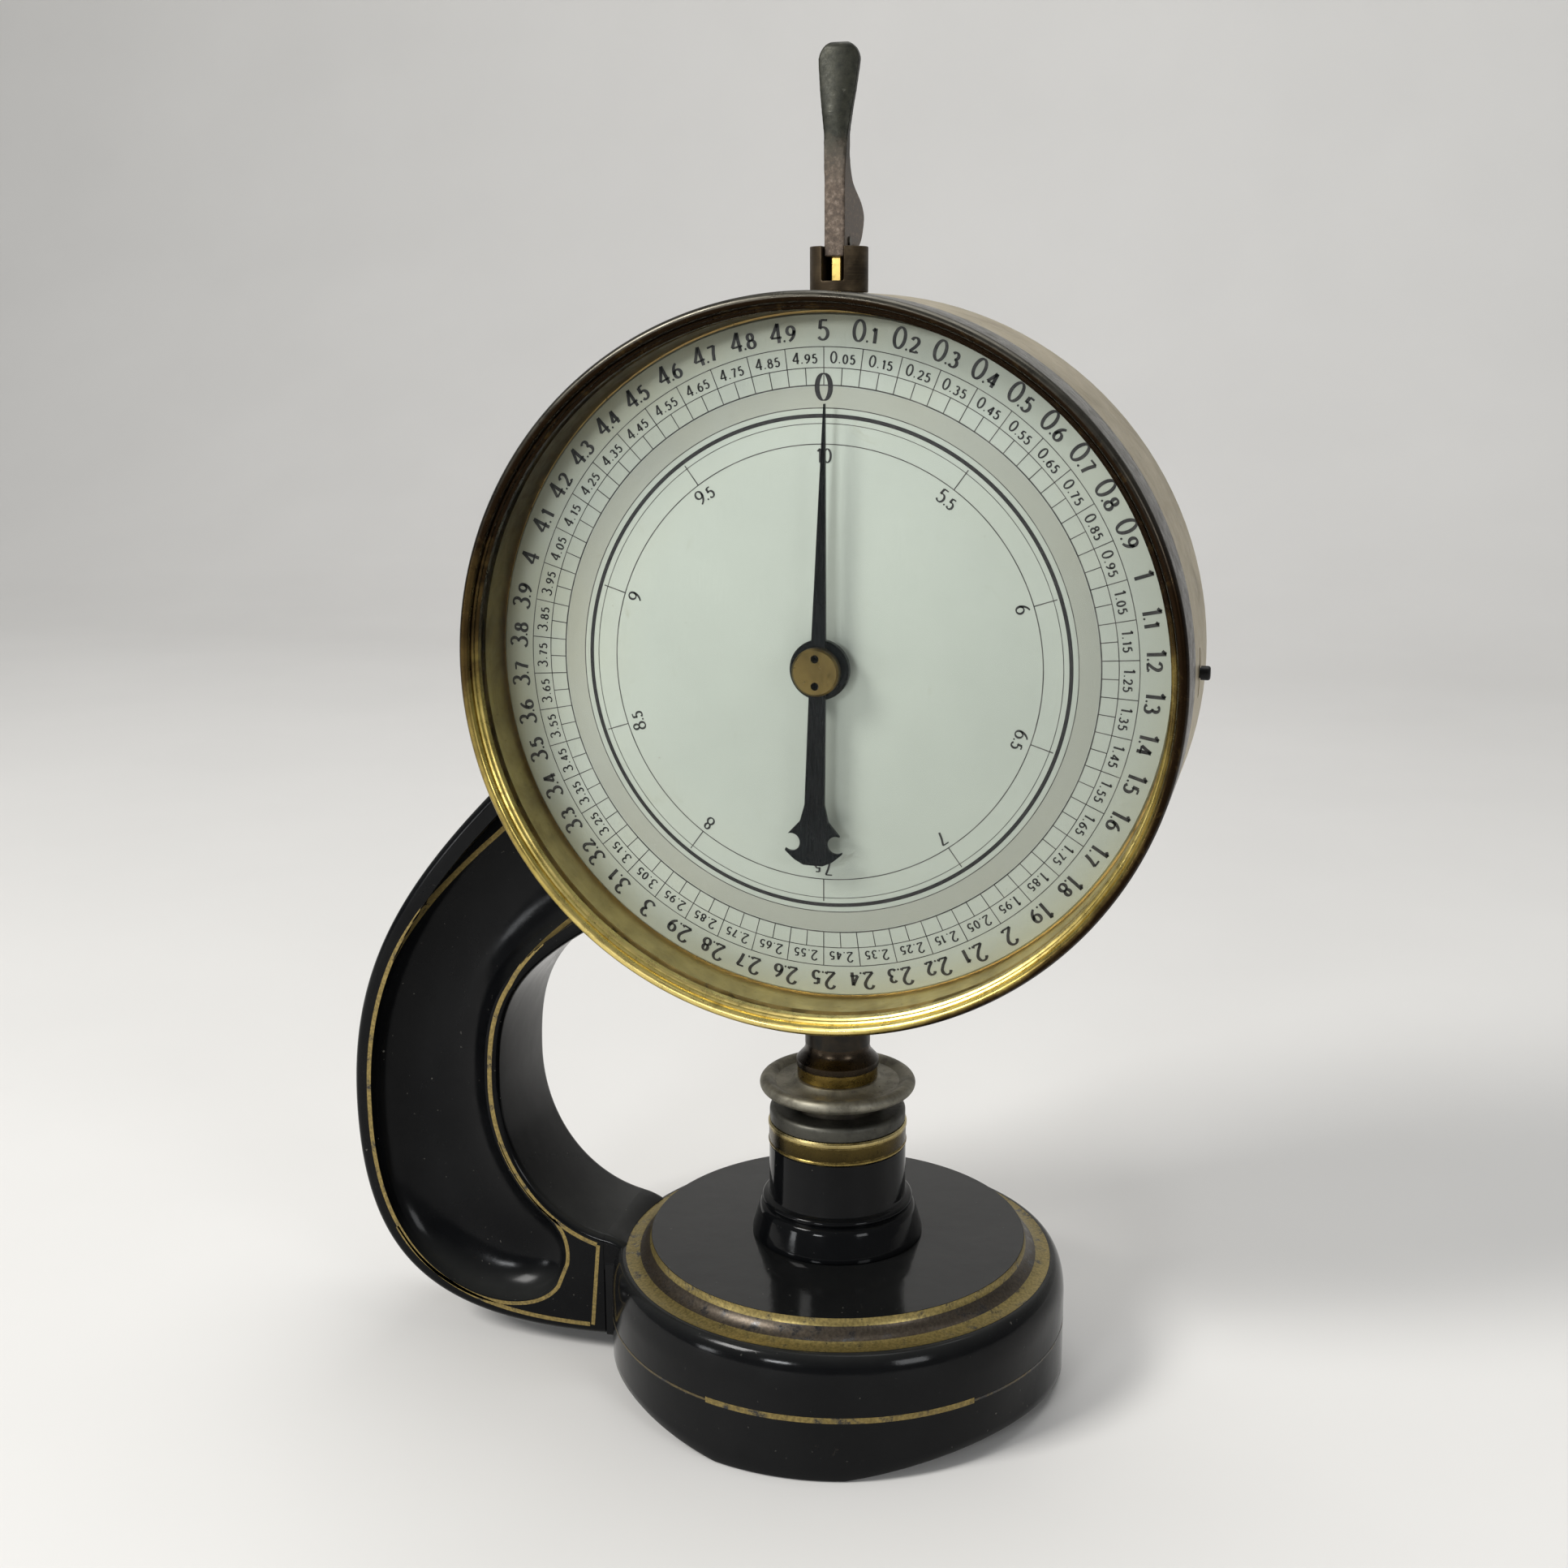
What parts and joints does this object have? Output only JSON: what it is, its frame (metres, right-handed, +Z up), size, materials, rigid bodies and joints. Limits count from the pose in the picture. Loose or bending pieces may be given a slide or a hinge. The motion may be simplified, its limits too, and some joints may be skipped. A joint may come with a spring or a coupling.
{
  "type": "bench dial thickness gauge",
  "caption": "Bench dial micrometer: round cast base, C-shaped arm, brass dial case, sliding spindle with anvil, pointer with gears and a finger lever that lifts the foot.",
  "frame": {"origin": "on the table, under the middle of the part's outline; the spindle's axis stands 13.85 mm to the right of it", "axes": "+Z up along the spindle, +X to the right of the dial as it is read, +Y to the back, dial facing -Y"},
  "size_m": [0.1492, 0.0806, 0.2247],
  "materials": {
    "black_enamel": "gloss, worn",
    "brass": "aged satin",
    "steel": "satin",
    "aged_steel": "patinated",
    "blued_steel": "blued",
    "silvered": "silvered matt",
    "glass": "clear"
  },
  "bodies": {
    "stand": {"base_casting": "black_enamel", "c_arm": "black_enamel", "anvil_post": "black_enamel", "anvil_ring": "brass", "anvil": "aged_steel", "post_screw": "steel", "arm_base_screws": "steel", "saddle_screws": "steel", "case_drum": "brass", "case_back": "brass", "back_screws": "steel", "bezel": "brass", "glass": "glass", "glass_ring": "brass", "movement_plate": "brass", "movement_screws": "steel", "pillars": "brass", "centre_bridge": "brass", "back_bridge": "brass", "bridge_screws": "steel", "lower_guide": "brass", "upper_guide": "brass", "lift_boss": "brass", "return_spring": "steel"},
    "spindle": {"spindle": "aged_steel", "rack": "steel", "measuring_foot": "steel", "foot_flange": "aged_steel", "foot_hub": "brass", "spring_collar": "brass", "lift_rod": "brass", "lever_pin": "aged_steel"},
    "lever": {"lift_lever": "aged_steel"},
    "wheel": {"wheel_arbor": "steel", "rack_pinion": "brass", "drive_wheel": "brass"},
    "pointer": {"centre_arbor": "steel", "centre_pinion": "brass", "pointer": "blued_steel", "pointer_collar": "blued_steel", "pointer_hub": "brass"},
    "dial": {"dial_plate": "silvered", "zero_stud": "black_enamel"}
  },
  "joints": [
    {"name": "spindle_slide", "type": "slide", "parent": "stand", "child": "spindle", "axis": [0, 0, 1], "range_m": [0, 0.01], "stiffness_N_per_m": 60, "springref_m": -0.012, "deforming": ["return_spring"]},
    {"name": "lever_swing", "type": "hinge", "parent": "spindle", "child": "lever", "pos_m": [0.01385, 0, 0.19477], "axis": [-1, 0, 0], "range_deg": [-0.5, 90.5]},
    {"name": "wheel_turn", "type": "hinge", "parent": "stand", "child": "wheel", "pos_m": [0.00697, 0, 0.10924], "axis": [0, 1, 0], "range_deg": [-181, 1]},
    {"name": "pointer_turn", "type": "hinge", "parent": "stand", "child": "pointer", "pos_m": [0.01385, 0, 0.12802], "axis": [0, 1, 0], "range_deg": [-2, 722]},
    {"name": "dial_zero", "type": "hinge", "parent": "stand", "child": "dial", "pos_m": [0.01385, 0, 0.12802], "axis": [0, 1, 0], "range_deg": [-3, 3]}
  ],
  "couplings": [
    {"joint": "lever_swing", "follows": "spindle_slide", "rad_per_m": 157.08},
    {"joint": "wheel_turn", "follows": "spindle_slide", "rad_per_m": -314.16},
    {"joint": "pointer_turn", "follows": "spindle_slide", "rad_per_m": 1256.6}
  ]
}
